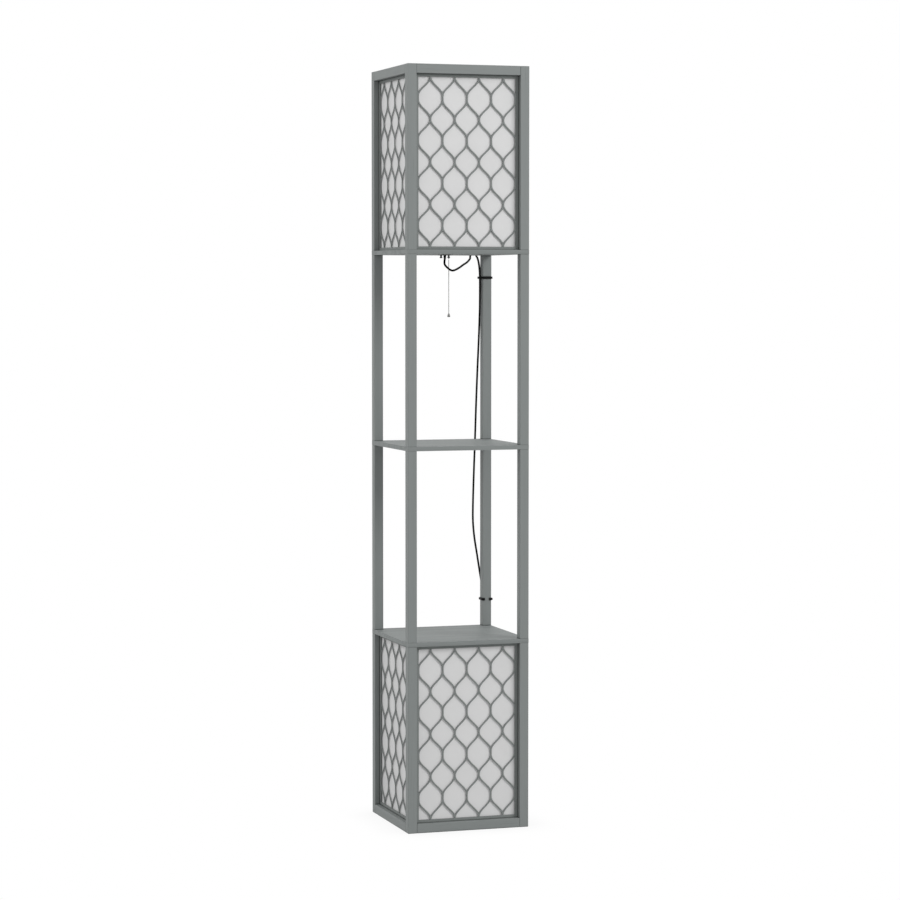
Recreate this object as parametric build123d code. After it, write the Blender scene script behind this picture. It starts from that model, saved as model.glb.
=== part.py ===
from build123d import *
import os
from math import cos, pi, radians, sin, sqrt, tan

# Shelf floor lamp: four corner posts in four tiers, three shelves between the tiers, and a
# light box of fretwork over white sheet at the top and at the bottom.
# Millimetres. Origin: middle of the footprint, on the floor. X right, Y to the back, Z up.

# ---------------------------------------------------------------- driving dimensions
width = 260.0                 # outside, the same across the front and from front to back
lower_box_height = 383.0      # floor to the underside of the lower shelf
bay_height = 391.0            # open bay: top of one shelf to the underside of the next
upper_box_height = 374.0      # top shelf to the top of the lamp
shelf_thickness = 9.0
post = 19.0                   # square section of the posts
rail_height = 19.0
rail_depth = 19.0
edge_round = 0.8              # eased corners of the posts, seen as a soft line

stud_diameter = 6.0           # threaded stud through each shelf corner into both posts
stud_reach = 20.0             # into each post
stud_play = 0.15              # all round, in posts and shelves
stud_end_play = 0.5           # past each end of the stud

panel_recess = 11.0           # fretwork set back from the outside of the posts
fret_thickness = 3.0
diffuser_thickness = 1.0
groove_depth = 2.5            # in posts and rails, for the edges of fretwork and diffuser
groove_play = 0.15            # each side of the two sheets
panel_edge_play = 0.3         # between a sheet's edge and the bottom of its groove
diffuser_short = 0.5          # the diffuser is cut this much smaller at each edge
fret_side_border = 7.0        # plain margin in sight beside the posts
fret_end_border = 6.2         # plain margin in sight at the rail and at the shelf
fret_strip = 3.1              # width of the sawn strips
strip_contact = 1.3           # between the middle lines of two strips where they join
fret_columns = 4              # whole ogees side by side
fret_rows = 4                 # whole ogees one above the other
ogee_rise = 0.884             # share of the half cell that a strip takes to swing across
ogee_low_straight = 0.012     # share of it that the strip stands upright at the low contact

holder_x = -9.9               # lampholder axis under the top shelf
housing_diameter = 40.0
housing_height = 24.0
housing_wall = 2.5
boss_diameter = 26.0          # neck of the switch housing, down through the shelf
boss_play = 0.3
cover_diameter = 31.0
cover_thickness = 1.5
guide_offset = 8.6            # chain guides, either side of the cord
guide_drop = 7.0              # underside of the cover to the mouth of a guide
guide_mouth_diameter = 5.2
guide_bore_diameter = 3.2
gland_top_diameter = 6.6
gland_tip_diameter = 4.8
gland_inside = 13.0
gland_outside = 7.0
turned_sides = 12             # flat sides that stand for a round turned piece
rod_sides = 6                 # the same for slim rods and their holes

lampholder_diameter = 37.0
lampholder_height = 36.0
lampholder_floor = 6.0
shell_wall = 0.5              # screw shell in the lampholder
shell_height = 27.0
fit_play = 0.25               # radial, shell in lampholder and cap in shell
cap_diameter = 26.0           # screw cap of the bulb
cap_height = 25.0
contact_height = 2.0
bulb_diameter = 60.0
bulb_length = 80.0            # glass above the cap
lower_flange_diameter = 44.0
lower_flange_thickness = 4.0

lever_pivot_back = 4.0        # pivot behind the housing axis, away from the chain
lever_thickness = 1.6
lever_depth = 3.0
lever_pin_diameter = 2.4
lever_pin_play = 0.1
fork_gap = 3.6
chain_ball = 2.4
chain_link = 1.0
chain_pitch = 3.3
lead_below_guide = 1.0        # chain lead in sight under its guide
chain_end_height = 1066.0     # where the chain enters its bell
bell_height = 9.5
bell_diameter = 8.0
bell_neck_diameter = 3.6
joint_gap = 0.3

cord_diameter = 4.2
cord_sides = 5                # flat sides that stand for the round cord
cord_play = 0.35              # between the cord and what holds it
saddle_wall = 1.2             # saddle on the back edge of the top shelf, over the cord
saddle_width = 4.0
band_height = 4.0             # closed band round post and cord
band_thickness = 1.0
band_drop = 47.0              # underside of the top shelf to the middle of the band
clip_rise = 57.0              # top of the lower shelf to the middle of the open clip
clip_thickness = 3.0
clip_opening = 10.0
coil_turns = 1                # in each of the two layers
coil_middle_radius = 24.95
coil_gap = 0.7                # between neighbouring turns
plug_length = 32.0
plug_width = 24.0
plug_thickness = 14.0
plug_tail = 20.0
blade_length = 17.0
blade_width = 6.3
blade_thickness = 1.5
blade_spacing = 12.7

# ---------------------------------------------------------------- levels and shared places
half = width / 2
inner = half - post
post_centre = half - post / 2
lower_shelf = lower_box_height
middle_shelf = lower_shelf + shelf_thickness + bay_height
top_shelf = middle_shelf + shelf_thickness + bay_height
top_shelf_face = top_shelf + shelf_thickness
total_height = top_shelf_face + upper_box_height
fret_face = half - panel_recess
groove_width = fret_thickness + diffuser_thickness + 2 * groove_play
stud_hole = stud_diameter + 2 * stud_play
cord_radius = cord_diameter / 2
guide_x = holder_x + guide_offset
cover_under = top_shelf - cover_thickness
guide_mouth = cover_under - guide_drop

os.makedirs("parts", exist_ok=True)


def save(node, shape):
    """Writes one named piece, or one group of like solids."""
    export_step(shape, f"parts/{node}.step")
    return shape


def block(x0, x1, y0, y1, z0, z1):
    """Box given by its low and high faces."""
    return Pos((x0 + x1) / 2, (y0 + y1) / 2, (z0 + z1) / 2) * Box(x1 - x0, y1 - y0, z1 - z0)


def skin(rows):
    """Closed form with flat faces, through rows that hold as many corner points each."""
    faces = [Face(Wire.make_polygon(row)) for row in (rows[0], rows[-1])]
    for low, high in zip(rows, rows[1:]):
        faces += [Face(Wire.make_polygon([low[i - 1], low[i], high[i], high[i - 1]]))
                  for i in range(len(low))]
    return Solid(Shell(faces))


def turned(rings, x=0.0, y=0.0, sides=turned_sides):
    """Turned form with flat sides, through (diameter, height) rings from the lowest up."""
    turns = [2 * pi * i / sides for i in range(sides)]
    return skin([[(x + d / 2 * cos(a), y + d / 2 * sin(a), z) for a in turns] for d, z in rings])


def rod(diameter, z0, z1, x=0.0, y=0.0, sides=rod_sides):
    """Plain upright rod, or the hole for one."""
    return extrude(Pos(x, y, z0) * RegularPolygon(diameter / 2, sides), z1 - z0)


# ---------------------------------------------------------------- posts
def post_length(sx, sy, z0, z1, studs_at, grooved):
    """One post between two shelves, with stud holes and, in a light box, two panel grooves."""
    cx, cy = sx * post_centre, sy * post_centre
    body = Pos(cx, cy, (z0 + z1) / 2) * Box(post, post, z1 - z0)
    outer_edge = body.edges().filter_by(Axis.Z).sort_by(
        lambda e: -abs(e.center().X) - abs(e.center().Y))[0]
    body = chamfer(outer_edge, edge_round)
    depth = stud_reach + stud_end_play
    for end in studs_at:
        low, high = (z0, z0 + depth) if end == "foot" else (z1 - depth, z1)
        body -= rod(stud_hole, low, high, cx, cy)
    if grooved:
        face = fret_face + groove_play
        in_x = sorted((sx * inner, sx * (inner + groove_depth)))
        in_y = sorted((sy * inner, sy * (inner + groove_depth)))
        at_x = sorted((sx * face, sx * (face - groove_width)))
        at_y = sorted((sy * face, sy * (face - groove_width)))
        body -= block(*in_x, *at_y, z0, z1)
        body -= block(*at_x, *in_y, z0, z1)
    return body


corners = {"front_left": (-1, -1), "front_right": (1, -1), "back_left": (-1, 1), "back_right": (1, 1)}
tiers = {
    "lower_box_post": (0.0, lower_shelf, ["head"], True),
    "lower_bay_post": (lower_shelf + shelf_thickness, middle_shelf, ["foot", "head"], False),
    "upper_bay_post": (middle_shelf + shelf_thickness, top_shelf, ["foot", "head"], False),
    "upper_box_post": (top_shelf_face, total_height, ["foot"], True),
}
for tier, (z0, z1, studs_at, grooved) in tiers.items():
    for corner, (sx, sy) in corners.items():
        save(f"{tier}_{corner}", post_length(sx, sy, z0, z1, studs_at, grooved))


# ---------------------------------------------------------------- shelves and studs
def shelf(z0, openings=()):
    """Square board, flush with the posts, with a stud hole at each corner."""
    board = block(-half, half, -half, half, z0, z0 + shelf_thickness)
    for sx, sy in corners.values():
        board -= rod(stud_hole, z0, z0 + shelf_thickness, sx * post_centre, sy * post_centre)
    for diameter, x, y in openings:
        board -= rod(diameter, z0, z0 + shelf_thickness, x, y, turned_sides)
    return board


save("lower_shelf", shelf(lower_shelf))
save("middle_shelf", shelf(middle_shelf))
save("top_shelf", shelf(top_shelf, [(boss_diameter + 2 * boss_play, holder_x, 0.0)]))

stud_length = 2 * stud_reach + shelf_thickness
studs = [rod(stud_diameter, z - stud_reach, z - stud_reach + stud_length,
             sx * post_centre, sy * post_centre)
         for z in (lower_shelf, middle_shelf, top_shelf) for sx, sy in corners.values()]
save("joining_studs", Compound(studs))


# ---------------------------------------------------------------- rails
def rail(z0, groove_at_top):
    """Front rail between two posts, with a groove for the fretwork and its diffuser."""
    z1 = z0 + rail_height
    bar = block(-inner, inner, -half, -half + rail_depth, z0, z1)
    low, high = (z1 - groove_depth, z1) if groove_at_top else (z0, z0 + groove_depth)
    face = -fret_face - groove_play
    return bar - block(-inner, inner, face, face + groove_width, low, high)


sides = {"front": 0, "right": 90, "back": 180, "left": 270}
for side, turn in sides.items():
    save(f"bottom_rail_{side}", Rot(0, 0, turn) * rail(0.0, True))
    save(f"top_rail_{side}", Rot(0, 0, turn) * rail(total_height - rail_height, False))


# ---------------------------------------------------------------- fretwork
def strip_lean(rise, half_cell):
    """How far a strip has crossed from its low contact to its high one, and how steeply."""
    start = ogee_low_straight * half_cell
    span = ogee_rise * half_cell
    share = min(max((rise - start) / span, 0.0), 1.0)
    return (1 - cos(pi * share)) / 2, pi / (2 * span) * sin(pi * share)


def gap_half_width(rise, half_cell, pitch, between_low):
    """Half the width of a gap, at a height above the level of the low contacts."""
    lean, slope = strip_lean(rise, half_cell)
    swing = pitch / 2 - strip_contact
    strip = fret_strip / 2 * sqrt(1 + (slope * swing) ** 2)
    reach = lean if between_low else 1 - lean
    return strip_contact / 2 + reach * swing - strip


def ogee_outline(half_cell, pitch, between_low):
    """Corner points of a whole gap: pointed above and below, with hollow necks."""
    def level(height):
        rise = half_cell - height if between_low else height
        return gap_half_width(rise, half_cell, pitch, between_low)
    low, high = 0.0, half_cell
    for _ in range(40):
        middle = (low + high) / 2
        low, high = (middle, high) if level(middle) > 0 else (low, middle)
    tip, neck = low, 0.6 * low
    right = [(0.0, -tip), (level(neck), -neck), (level(0.0), 0.0), (level(neck), neck)]
    return right + [(-x, -z) for x, z in right]


def fret_panel(z0, z1, groove_below, groove_above):
    """Front panel: one sawn board with whole ogees inside and cut ones along its margins."""
    foot = z0 - (groove_depth - panel_edge_play if groove_below else 0.0)
    head = z1 + (groove_depth - panel_edge_play if groove_above else 0.0)
    reach = inner + groove_depth - panel_edge_play
    side = inner - fret_side_border
    low, high = z0 + fret_end_border, z1 - fret_end_border
    pitch = 2 * side / fret_columns
    half_cell = (high - low) / (2 * fret_rows)
    gaps = Sketch()
    window = Pos(0, (low + high) / 2) * Rectangle(2 * side, high - low)
    for row in range(2 * fret_rows + 1):
        between_low = row % 2 == 1
        outline = ogee_outline(half_cell, pitch, between_low)
        count = fret_columns if between_low else fret_columns + 1
        for column in range(count):
            x = (column - (count - 1) / 2) * pitch
            z = low + row * half_cell
            cell = Polygon(*[(x + px, z + pz) for px, pz in outline], align=None)
            cut = row in (0, 2 * fret_rows) or abs(x) > side - 1
            gaps += (cell & window) if cut else cell
    board = Pos(0, (foot + head) / 2) * Rectangle(2 * reach, head - foot)
    plane = Plane(origin=(0, -fret_face, 0), x_dir=(1, 0, 0), z_dir=(0, -1, 0))
    return extrude(plane * (board - gaps), -fret_thickness)


def diffuser_sheet(z0, z1, groove_below, groove_above):
    """Plain white sheet behind the front fretwork, in the same grooves."""
    foot = z0 - (groove_depth - panel_edge_play - diffuser_short if groove_below else 0.0)
    head = z1 + (groove_depth - panel_edge_play - diffuser_short if groove_above else 0.0)
    reach = inner + groove_depth - panel_edge_play - diffuser_short
    back = -fret_face + fret_thickness
    return block(-reach, reach, back, back + diffuser_thickness, foot, head)


boxes = {
    "lower": (rail_height, lower_shelf, True, False),
    "upper": (top_shelf_face, total_height - rail_height, False, True),
}
for box, (z0, z1, below, above) in boxes.items():
    panel = fret_panel(z0, z1, below, above)
    sheet = diffuser_sheet(z0, z1, below, above)
    for side, turn in sides.items():
        save(f"{box}_fret_{side}", Rot(0, 0, turn) * panel)
    save(f"{box}_diffusers", Compound([Rot(0, 0, turn) * sheet for turn in sides.values()]))


# ---------------------------------------------------------------- switch housing in the top shelf
housing_top = top_shelf_face + housing_height
bore = boss_diameter - 2 * housing_wall
room = housing_diameter - 2 * housing_wall
lever_pivot = (holder_x - lever_pivot_back, top_shelf_face + 9.0)

housing = turned([(housing_diameter, top_shelf_face), (housing_diameter, housing_top)], holder_x)
housing += turned([(boss_diameter, top_shelf), (boss_diameter, top_shelf_face)], holder_x)
housing -= turned([(room, top_shelf_face + housing_wall), (room, housing_top)], holder_x)
housing -= turned([(bore, top_shelf), (bore, top_shelf_face + housing_wall)], holder_x)
pin_length = 2 * sqrt((room / 2) ** 2 - lever_pivot_back ** 2) + housing_wall
housing += Pos(lever_pivot[0], 0, lever_pivot[1]) * Rot(90, 0, 0) * Cylinder(
    lever_pin_diameter / 2, pin_length)
save("switch_housing", housing)

cover = turned([(cover_diameter, cover_under), (cover_diameter, top_shelf)], holder_x)
cover -= turned([(gland_top_diameter, cover_under), (gland_top_diameter, top_shelf)], holder_x)
cover -= rod(guide_bore_diameter, cover_under, top_shelf, guide_x)
save("housing_cover", cover)


def chain_guide(side):
    """Bell-mouthed guide on a short slanting arm, under the cover."""
    x = holder_x + side * guide_offset
    rim = guide_mouth + 3.4
    bell = turned([(guide_mouth_diameter, guide_mouth), (guide_mouth_diameter, guide_mouth + 1.6),
                   (guide_bore_diameter + 1.2, rim)], x, sides=12)
    foot = holder_x + side * (gland_top_diameter / 2 + 0.9)
    outline = [(foot, cover_under), (foot + side * 2.2, cover_under), (x, rim - 0.6),
               (x - side * 1.2, guide_mouth + 1.2)]
    arm = extrude(Plane.XZ * Polygon(*outline, align=None), guide_bore_diameter / 2, both=True)
    bell += arm
    return bell - rod(guide_bore_diameter, guide_mouth, cover_under, x)


save("chain_guides", Compound([chain_guide(-1), chain_guide(1)]))

gland_tip = cover_under - gland_outside
save("cord_gland", turned([(gland_tip_diameter, gland_tip), (gland_top_diameter - 0.1, cover_under),
                           (gland_top_diameter - 0.1, cover_under + gland_inside)], holder_x))


# ---------------------------------------------------------------- lampholders and bulbs
shell_diameter = cap_diameter + 2 * fit_play + 2 * shell_wall


def lampholder():
    """Moulded body standing on its closed end, with the room for the screw shell."""
    body = turned([(lampholder_diameter, 0), (lampholder_diameter, lampholder_height)])
    socket = shell_diameter + 2 * fit_play
    return body - turned([(socket, lampholder_floor), (socket, lampholder_height)])


def screw_shell():
    """Brass shell with its floor, seated in the lampholder."""
    top = lampholder_floor + shell_height
    shell = turned([(shell_diameter, lampholder_floor), (shell_diameter, top)])
    hollow = shell_diameter - 2 * shell_wall
    return shell - turned([(hollow, lampholder_floor + shell_wall), (hollow, top)])


cap_foot = lampholder_floor + shell_wall + contact_height


def bulb_cap():
    """Screw cap of the bulb with its end contact, which meets the floor of the shell."""
    cap = turned([(cap_diameter, cap_foot), (cap_diameter, cap_foot + cap_height)])
    return cap + turned([(9.0, cap_foot - contact_height), (14.0, cap_foot)], sides=12)


def bulb_glass():
    """Pear-shaped glass above the cap."""
    foot = cap_foot + cap_height
    big = bulb_diameter
    rings = [(cap_diameter, 0.0), (cap_diameter, 0.04), (0.58 * big, 0.24), (0.86 * big, 0.42), (big, 0.62),
             (0.94 * big, 0.77), (0.72 * big, 0.90), (0.34 * big, 0.98), (4.0, 1.0)]
    return turned([(d, foot + share * bulb_length) for d, share in rings])


upright = Pos(holder_x, 0, housing_top)
hanging = Pos(0, 0, lower_shelf - lower_flange_thickness) * Rot(180, 0, 0)
save("upper_lampholder", upright * lampholder())
lower_body = hanging * lampholder()
lower_body += turned([(lower_flange_diameter, lower_shelf - lower_flange_thickness),
                      (lower_flange_diameter, lower_shelf)])
inlet = Pos(0, lampholder_diameter / 2 + 2.0, lower_shelf - lower_flange_thickness - 5.0)
lower_body += inlet * Rot(90, 0, 0) * rod(6.8, -5.0, 5.0)
save("lower_lampholder", lower_body)
save("screw_shells", Compound([upright * screw_shell(), hanging * screw_shell()]))
save("bulb_caps", Compound([upright * bulb_cap(), hanging * bulb_cap()]))
save("upper_bulb", upright * bulb_glass())
save("lower_bulb", hanging * bulb_glass())


# ---------------------------------------------------------------- switch lever and pull chain
px0, pz0 = lever_pivot
eye = rod(lever_pin_diameter + 2 * lever_pin_play + 3.0, -lever_depth, lever_depth, sides=12)
eye = Pos(px0, 0, pz0) * Rot(90, 0, 0) * eye
arm_under = pz0 - lever_thickness / 2
arm = block(px0, guide_x - chain_ball, -lever_depth, lever_depth, arm_under, arm_under + lever_thickness)
lever = eye + arm
for sy in (-1, 1):
    prong = sorted((sy * fork_gap / 2, sy * lever_depth))
    lever += block(guide_x - chain_ball - 0.5, guide_x + chain_ball, *prong,
                   arm_under, arm_under + lever_thickness)
lever -= Pos(px0, 0, pz0) * Rot(90, 0, 0) * Cylinder(lever_pin_diameter / 2 + lever_pin_play,
                                                    2 * lever_depth)
save("switch_lever", lever)

stop_diameter = fork_gap + 1.4
stop_foot = arm_under + lever_thickness + joint_gap
swing_level = guide_mouth - lead_below_guide - joint_gap - chain_ball / 2
lead_foot = swing_level + chain_ball / 2 + joint_gap
lead = turned([(chain_link * 1.6, lead_foot), (chain_link * 1.6, stop_foot)], guide_x, sides=8)
lead += turned([(stop_diameter * 0.7, stop_foot), (stop_diameter, stop_foot + 1.2),
                (stop_diameter * 0.7, stop_foot + 2.4)], guide_x, sides=8)
save("chain_lead", lead)

ball_count = int((swing_level - chain_end_height) / chain_pitch)
rings = [(chain_link, swing_level + chain_ball / 2)]
for ball in range(ball_count + 1):
    middle = swing_level - ball * chain_pitch
    rings += [(chain_ball, middle), (chain_link, middle - chain_pitch / 2)]
chain_foot = rings[-1][1]
save("pull_chain", turned(rings[::-1], guide_x, sides=5))

bell_top = chain_foot
save("pull_bell", turned([(bell_diameter - 1.4, bell_top - bell_height), (bell_diameter, bell_top - 8.0),
                          (bell_diameter - 1.0, bell_top - 6.0), (bell_neck_diameter + 0.6, bell_top - 2.5),
                          (bell_neck_diameter, bell_top)], guide_x, sides=12))


# ---------------------------------------------------------------- cord
def run_radii(points):
    """Largest arc for each corner: 0.45 of the shorter run over the tangent of half the turn."""
    radii = []
    for a, b, c in zip(points, points[1:], points[2:]):
        back, on = Vector(*a) - Vector(*b), Vector(*c) - Vector(*b)
        turn = radians(180 - back.get_angle(on))
        radii.append(0.45 * min(back.length, on.length) / tan(turn / 2))
    return radii


coil_centre = (inner - 32.5, half + 38.0)
coil_pitch = cord_diameter + coil_gap
coil_outer = coil_middle_radius + coil_pitch * coil_turns / 2
coil_inner = coil_outer - coil_pitch * coil_turns
coil_low = cord_radius
coil_high = coil_low + coil_pitch
coil_total = coil_turns + 0.5 + coil_turns - 0.25

# from the tip of the gland, in one loose loop under the top shelf
from_gland = [(0.0, 0.0, 0.0), (0.0, 0.0, -9.1), (0.7, -2.6, -18.1), (7.1, -4.8, -25.1), (16.8, -5.2, -27.7),
              (26.8, -2.0, -24.9), (36.9, 8.0, -18.0), (47.9, 26.0, -12.0), (63.4, 52.0, -8.5),
              (76.9, 82.0, -6.5)]
# from the inner edge of the back right post, the back of the shelf and its underside: up behind
# the edge, through the saddle and down beside the post
over_edge = [(-33.5, -23.0, -11.5), (-24.8, 1.2, -6.4), (-20.4, 3.6, 3.4), (-12.6, 3.6, 3.8), (-7.4, 1.6, -7.0),
             (-3.8, -2.4, -23.0), (-2.4, -5.4, -43.0), (-2.3, -7.4, -73.0)]
# down the post: offsets as above, and the height for a lamp whose top shelf is at picked_height
picked_height = 1183.0
down_post = [(-2.7, -8.4, 1075.0), (-3.7, -7.1, 1040.0), (-4.6, -3.6, 1000.0), (-5.8, -0.1, 950.0),
             (-7.2, 2.6, 895.0), (-8.6, 3.8, 845.0), (-10.1, 4.2, 790.0), (-12.2, 4.3, 735.0),
             (-13.7, 4.2, 690.0), (-14.8, 4.2, 650.0), (-15.1, 4.2, 615.0), (-11.8, 4.2, 580.0),
             (-6.5, 4.2, 550.0), (-0.2, 4.0, 510.0), (5.8, 3.8, 475.0), (8.5, 3.6, 440.0), (9.6, 3.8, 395.0),
             (9.9, 4.2, 345.0), (9.4, 4.0, 290.0), (8.6, 4.3, 235.0), (8.9, 4.1, 180.0), (9.8, 4.4, 130.0),
             (9.4, 4.8, 95.0)]
# near the floor: offsets as above, heights from the floor
to_coil = [(7.8, 5.6, 66.0), (4.6, 7.2, 42.0), (0.4, 10.0, 24.0), (-3.0, 14.6, 11.6),
           (-4.7, 21.2, 4.8), (-5.1, 29.2, cord_radius)]
cord_route = [(holder_x + x, y, gland_tip + z) for x, y, z in from_gland]
cord_route += [(inner + x, half + y, top_shelf + z) for x, y, z in over_edge]
cord_route += [(inner + x, half + y, z * top_shelf / picked_height) for x, y, z in down_post]
cord_route += [(inner + x, half + y, z) for x, y, z in to_coil]
cord_route.append((coil_centre[0] + coil_outer, coil_centre[1] - cord_diameter, cord_radius))
cord_radii = run_radii(cord_route)
print("cord arc radii:", [round(r, 1) for r in cord_radii])
cord_path = FilletPolyline(*cord_route, radius=cord_radii)
cord_section = RegularPolygon(cord_radius, cord_sides)
cord = sweep(Plane(origin=cord_path @ 0, z_dir=cord_path % 0) * cord_section, path=cord_path)
print("cord volume over section times length:",
      round(cord.volume / (cord_section.area * cord_path.length), 4))
save("power_cord", cord)


def coil_point(turns):
    """Point on the coil: in along the floor, up a layer in half a turn, and out on top."""
    done = min(max((turns - coil_turns) / 0.5, 0.0), 1.0)
    z = coil_low + (coil_high - coil_low) * (1 - cos(pi * done)) / 2
    if turns <= coil_turns:
        radius = coil_outer - coil_pitch * turns
    elif done < 1:
        radius = coil_inner - coil_pitch * 0.5 * done * (1 - done)
    else:
        radius = coil_inner + coil_pitch * (turns - coil_turns - 0.5)
    angle = 2 * pi * turns
    return Vector(coil_centre[0] + radius * cos(angle), coil_centre[1] + radius * sin(angle), z)


def coil_heading(turns):
    """Unit tangent of the coil, from two points close to each other."""
    step = 1e-4
    return (coil_point(turns + step) - coil_point(turns - step)).normalized()


def biarc(p0, t0, p1, t1):
    """Two arcs that leave p0 along t0 and reach p1 along t1."""
    v, t = p1 - p0, t0 + t1
    k = 2 * (1 - t0.dot(t1))
    b = v.dot(t)
    d = (sqrt(b * b + k * v.dot(v)) - b) / k
    q = (p0 + t0 * d + p1 - t1 * d) * 0.5
    return [Edge.make_tangent_arc(p0, t0, q), Edge.make_tangent_arc(p1, t1 * -1, q)]


quarters = [i / 4 for i in range(int(coil_total * 4) + 1)]
points = [coil_point(t) for t in quarters]
headings = [coil_heading(t) for t in quarters]
headings[0] = Vector(0, 1, 0)
headings[-1] = Vector(-1, 0, 0)
coil_edges = [Edge.make_line(points[0] - headings[0] * cord_diameter, points[0])]
for i in range(len(points) - 1):
    coil_edges += biarc(points[i], headings[i], points[i + 1], headings[i + 1])
plug_run = 30.0
coil_edges.append(Edge.make_line(points[-1], points[-1] + headings[-1] * plug_run))
coil_path = Wire(coil_edges)
start = Plane(origin=coil_path @ 0, x_dir=(1, 0, 0), z_dir=(0, 1, 0))
coil = sweep(start * RegularPolygon(cord_radius, cord_sides), path=coil_path)
samples = [coil_point(i / 48) for i in range(int(coil_total * 48) + 1)]
least_gap = min((samples[i] - samples[j]).length
                for i in range(len(samples)) for j in range(i + 24, len(samples))) - cord_diameter
print("coil length:", round(coil_path.length, 1), "least gap between turns:", round(least_gap, 2))
save("cord_coil", coil)


# ---------------------------------------------------------------- plug, beside the coil
tail_x, plug_y = points[-1].X - plug_run, points[-1].Y
plug_level = plug_thickness / 2
face_x = tail_x - plug_tail - plug_length


def plug_section(x, width, thickness):
    """Corner points of the plug's section, square to its cord, with its corners cut."""
    cut = min(width, thickness) * 0.25
    y, z = width / 2, thickness / 2
    quarter = [(y, z - cut), (y - cut, z)]
    outline = quarter + [(-b, a) for b, a in quarter[::-1]]
    outline += [(-b, -a) for b, a in outline]
    return [(x, plug_y + b, plug_level + a) for b, a in outline]


body = skin([plug_section(tail_x, cord_diameter + 1.2, cord_diameter + 1.2),
             plug_section(tail_x - plug_tail, plug_width * 0.42, plug_thickness * 0.62),
             plug_section(tail_x - plug_tail - 7.0, plug_width * 0.86, plug_thickness),
             plug_section(face_x, plug_width, plug_thickness)])
save("plug_body", body)
blades = [block(face_x - blade_length, face_x, plug_y + s * blade_spacing / 2 - blade_thickness / 2,
                plug_y + s * blade_spacing / 2 + blade_thickness / 2,
                plug_level - blade_width / 2, plug_level + blade_width / 2) for s in (-1, 1)]
save("plug_blades", Compound(blades))


# ---------------------------------------------------------------- what holds the cord
def post_ring(x0, x1, y0, y1, corner, thickness, z, height, opening=0.0):
    """Ring round the back right post, given by its inside, with an opening at the front."""
    middle = Pos((x0 + x1) / 2, (y0 + y1) / 2)
    hole = Rectangle(x1 - x0, y1 - y0)
    hole = chamfer(hole.vertices(), corner)
    ring = Rectangle(x1 - x0 + 2 * thickness, y1 - y0 + 2 * thickness)
    ring = middle * (chamfer(ring.vertices(), corner + 0.6 * thickness) - hole)
    if opening:
        ring -= Pos(post_centre, y0) * Rectangle(opening, 4 * thickness)
    return extrude(Pos(0, 0, z - height / 2) * ring, height)


save("cord_band", post_ring(inner - 4.9, half + 2.4, inner - joint_gap, half + joint_gap, 2.2,
                            band_thickness, top_shelf - band_drop, band_height))
save("cord_clip", post_ring(inner - 3.4, half + 0.9, inner - joint_gap, half + 6.1, 0.9,
                            clip_thickness, lower_shelf + shelf_thickness + clip_rise, clip_thickness, clip_opening))

saddle_x, saddle_y, saddle_z = inner - 16.5, half + 3.6, top_shelf + 3.6
passage = cord_diameter + 2 * cord_play
low_x, high_x = saddle_x - saddle_width / 2, saddle_x + saddle_width / 2
saddle = block(low_x, high_x, half, saddle_y + passage / 2 + saddle_wall,
               saddle_z - passage / 2 - saddle_wall, top_shelf_face - 1.0)
saddle -= Pos(saddle_x, saddle_y, saddle_z) * Rot(0, 90, 0) * Cylinder(passage / 2, saddle_width)
saddle -= block(low_x, high_x, half, saddle_y, saddle_z - passage / 2, saddle_z + passage / 2)
save("cord_saddle", saddle)
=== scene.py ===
import bpy
import bmesh
from math import cos, pi, radians, sin, sqrt
from mathutils import Matrix, Vector


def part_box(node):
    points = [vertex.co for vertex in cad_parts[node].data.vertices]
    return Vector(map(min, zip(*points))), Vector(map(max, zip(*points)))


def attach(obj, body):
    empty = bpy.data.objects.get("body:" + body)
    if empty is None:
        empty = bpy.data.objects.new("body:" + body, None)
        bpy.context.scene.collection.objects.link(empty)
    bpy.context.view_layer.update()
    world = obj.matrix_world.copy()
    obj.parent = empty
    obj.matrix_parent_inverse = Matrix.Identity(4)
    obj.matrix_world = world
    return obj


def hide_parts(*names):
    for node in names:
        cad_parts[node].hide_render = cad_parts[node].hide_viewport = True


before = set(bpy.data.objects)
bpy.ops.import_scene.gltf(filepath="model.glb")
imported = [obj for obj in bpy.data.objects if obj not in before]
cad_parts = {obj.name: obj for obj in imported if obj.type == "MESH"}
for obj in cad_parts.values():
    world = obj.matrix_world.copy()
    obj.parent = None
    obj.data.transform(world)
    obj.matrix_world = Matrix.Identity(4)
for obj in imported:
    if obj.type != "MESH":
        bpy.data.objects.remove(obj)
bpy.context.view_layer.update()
scene = bpy.context.scene

# ------------------------------------------------------------------ the view
# The lamp is seen a little from its left, from just under the height of the top shelf, through
# a long lens.


def placed(name, data):
    """Object at the origin, in the scene."""
    made = bpy.data.objects.new(name, data)
    scene.collection.objects.link(made)
    return made


view_lens = bpy.data.cameras.new("view")
view_lens.sensor_width = 36.0
view_lens.lens = 113.65
view = placed("view", view_lens)
view.location = (-1.8128, -5.6314, 1.1136)
view.rotation_euler = (radians(86.741), 0.0, radians(-17.857))
scene.camera = view

# ------------------------------------------------------------------ painted timber
# Posts, shelves and rails are poplar with a matt grey paint, sprayed thin enough for the grain
# to show as fine straight lines. Every piece has eased edges, and painted shade darkens the paint
# in the joints, so the joints show as thin dark lines.
# Plated steel studs join the posts through the corners of the shelves.


def add(tree, kind, inputs=None, **settings):
    """Places a node with its settings; each input gets a plain value or another node's output."""
    made = tree.nodes.new(kind)
    for name, value in settings.items():
        setattr(made, name, value)
    for key, value in (inputs or {}).items():
        if isinstance(value, bpy.types.NodeSocket):
            tree.links.new(value, made.inputs[key])
        else:
            made.inputs[key].default_value = value
    return made


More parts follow.
